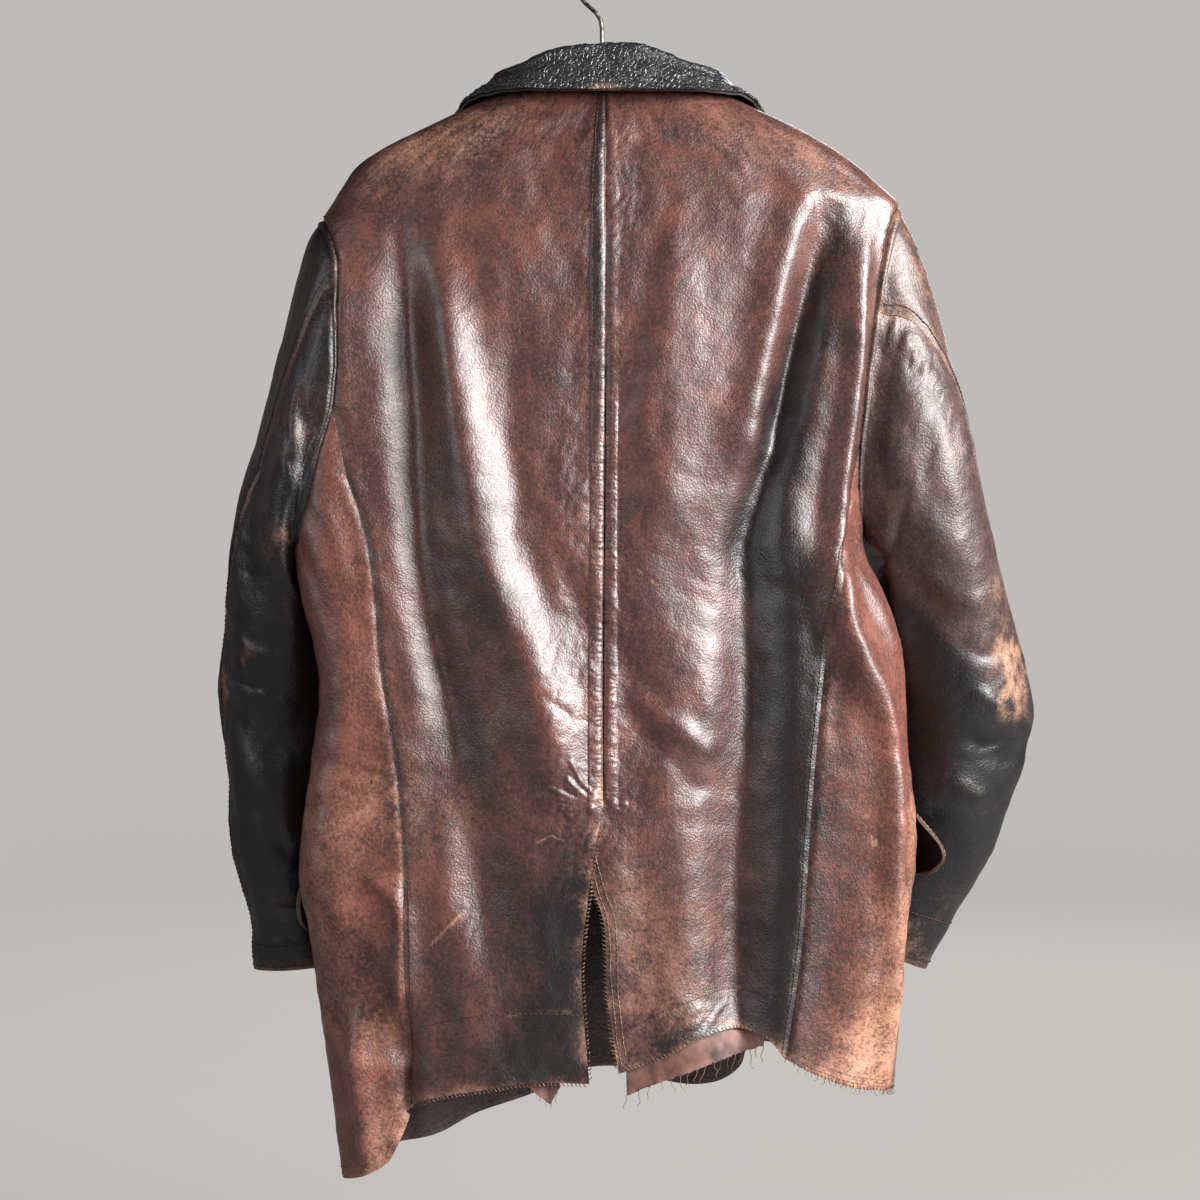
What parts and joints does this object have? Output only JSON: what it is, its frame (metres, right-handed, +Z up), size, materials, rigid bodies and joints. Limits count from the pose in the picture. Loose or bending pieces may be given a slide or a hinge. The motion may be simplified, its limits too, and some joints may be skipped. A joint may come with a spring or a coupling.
{
  "type": "worn leather coat on a hanger",
  "caption": "Worn brown leather three-quarter coat with a near-black collar and dark sleeves, hanging closed on a wire-hook hanger.",
  "frame": {"origin": "the inner top of the hanger's hook, where it rests on a rail", "axes": "+Z up, +X towards the wearer's right, +Y the way the front of the coat faces"},
  "size_m": [0.6924, 0.2582, 1.0076],
  "materials": {
    "brown_leather": "worn, semi-gloss",
    "brown_leather_front": "worn, semi-gloss",
    "dark_leather": "worn, semi-gloss",
    "dark_leather_under": "worn, semi-gloss",
    "collar_leather": "heavy crackled grain",
    "under_collar_leather": "matt",
    "flap_leather": "worn, semi-gloss",
    "button_horn": "polished",
    "lining_satin": "dull satin",
    "hanger_wood": "varnished",
    "hook_steel": "tarnished"
  },
  "bodies": {
    "root": {"back_left": "brown_leather", "back_right": "brown_leather", "front_left": "brown_leather_front", "front_right": "brown_leather_front", "sleeve_left_top": "dark_leather", "sleeve_left_top_lower": "dark_leather", "sleeve_left_under": "dark_leather_under", "sleeve_right_top": "dark_leather", "sleeve_right_under": "dark_leather_under", "upper_collar": "collar_leather", "under_collar": "under_collar_leather", "pocket_flap_left": "flap_leather", "pocket_flap_right": "flap_leather", "button_1": "button_horn", "button_2": "button_horn", "button_3": "button_horn", "button_4": "button_horn", "button_5": "button_horn", "button_6": "button_horn", "lining_right": "lining_satin", "lining_scrap": "lining_satin", "hanger_bar": "hanger_wood", "hanger_hook": "hook_steel"}
  },
  "joints": []
}
